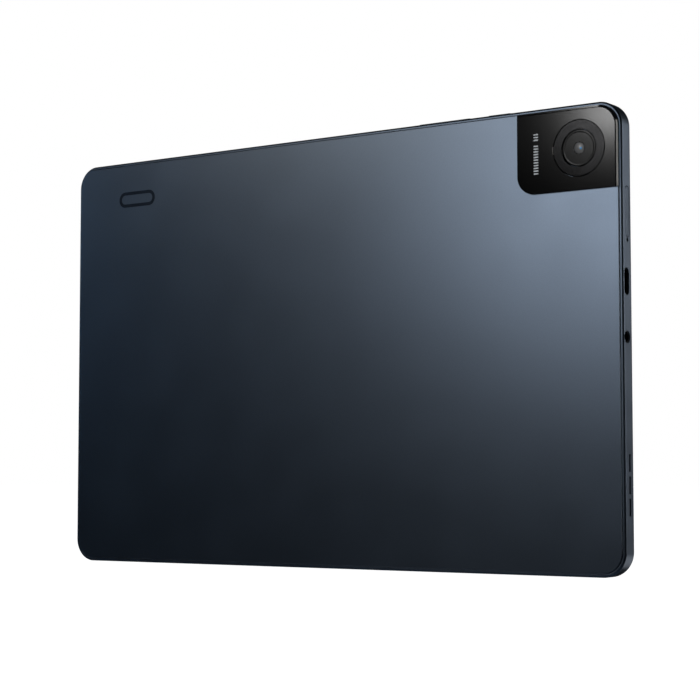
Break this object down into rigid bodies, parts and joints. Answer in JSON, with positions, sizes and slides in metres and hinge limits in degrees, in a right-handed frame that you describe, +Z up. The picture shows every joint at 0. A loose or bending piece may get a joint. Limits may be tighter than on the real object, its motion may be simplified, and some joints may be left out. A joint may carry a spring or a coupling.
{
  "type": "tablet computer",
  "caption": "Flat tablet computer with a dark metal back, a corner camera panel, edge keys, a card tray, a USB port and an audio jack.",
  "frame": {"origin": "under the middle of the body at its bottom long edge, as it stands on that edge", "axes": "+X along the long side, to the right when the back is seen; +Y out of the screen; +Z up"},
  "size_m": [0.244, 0.0082, 0.1595],
  "materials": {
    "back_paint": "matt, fine metallic grain",
    "frame_paint": "satin, fine metallic grain",
    "key_paint": "satin",
    "screen_glass": "polished, black border print",
    "camera_glass": "polished, black backed",
    "camera_metal": "spun",
    "lens_black": "satin",
    "lens_glass": "coated",
    "panel_carrier": "satin",
    "lcd_black": "polished",
    "reflector_white": "satin",
    "chassis_metal": "cast and milled",
    "plate_metal": "rolled",
    "tin": "pressed",
    "contact_gold": "plated",
    "copper_print": "plated",
    "black_plastic": "moulded",
    "pale_plastic": "moulded",
    "board_green": "solder mask",
    "chip_black": "moulded epoxy",
    "cell_foil": "pouch foil",
    "flex_amber": "polyimide film",
    "tape_pale": "adhesive strip",
    "seal_rubber": "moulded",
    "cable_white": "jacket",
    "graphite": "pressed film"
  },
  "bodies": {
    "root": {"back_cover": "back_paint", "side_frame": "frame_paint", "chassis_plate": "chassis_metal", "cover_glass": "screen_glass", "display_adhesive": "seal_rubber", "lcd_panel": "lcd_black", "backlight_unit": "reflector_white", "display_flex": "flex_amber", "battery_cell_left": "cell_foil", "battery_cell_right": "cell_foil", "battery_adhesive": "tape_pale", "battery_board": "board_green", "battery_cable": "black_plastic", "main_board": "board_green", "processor_chip": "chip_black", "memory_chips": "chip_black", "power_chips": "chip_black", "board_shields": "tin", "board_connectors": "black_plastic", "usb_port_shell": "tin", "usb_port_tongue": "black_plastic", "audio_jack": "black_plastic", "audio_jack_contacts": "contact_gold", "card_reader": "tin", "lever_pin": "plate_metal", "key_bracket": "plate_metal", "key_switches": "tin", "key_flex": "flex_amber", "rear_camera_module": "black_plastic", "rear_camera_barrel": "lens_black", "rear_camera_flex": "flex_amber", "camera_carrier": "panel_carrier", "camera_cover_glass": "camera_glass", "camera_ring": "camera_metal", "camera_inner_ring": "lens_black", "lens_window": "lens_glass", "front_camera": "black_plastic", "front_camera_flex": "flex_amber", "speaker_right": "black_plastic", "speaker_left": "black_plastic", "speaker_meshes": "seal_rubber", "microphone": "tin", "wifi_antenna": "pale_plastic", "mobile_antenna": "pale_plastic", "antenna_cable": "cable_white", "graphite_sheet": "graphite", "board_screws": "plate_metal", "speaker_screws": "plate_metal"},
    "power_key": {"power_key": "key_paint"},
    "volume_rocker": {"volume_rocker": "key_paint"},
    "card_tray": {"card_tray": "key_paint", "card_tray_seal": "seal_rubber"},
    "eject_plunger": {"eject_plunger": "plate_metal"},
    "eject_lever": {"eject_lever": "plate_metal"}
  },
  "joints": [
    {"name": "power_key_press", "type": "slide", "parent": "root", "child": "power_key", "axis": [0, 0, -1], "range_m": [0, 0.00025], "stiffness_N_per_m": 2000},
    {"name": "volume_rocker_tilt", "type": "hinge", "parent": "root", "child": "volume_rocker", "pos_m": [0.05145, 0.00015, 0.15663], "axis": [0, 1, 0], "range_deg": [-1.2, 1.2], "stiffness_Nm_per_rad": 0.12},
    {"name": "card_tray_slide", "type": "slide", "parent": "root", "child": "card_tray", "axis": [1, 0, 0], "range_m": [0, 0.026]},
    {"name": "eject_plunger_push", "type": "slide", "parent": "root", "child": "eject_plunger", "axis": [-1, 0, 0], "range_m": [0, 0.0015]},
    {"name": "eject_lever_turn", "type": "hinge", "parent": "root", "child": "eject_lever", "pos_m": [0.09405, 0.00033, 0.116], "axis": [0, 1, 0], "range_deg": [0, 24.5]}
  ],
  "couplings": [
    {"joint": "eject_lever_turn", "follows": "eject_plunger_push", "rad_per_m": 283}
  ]
}
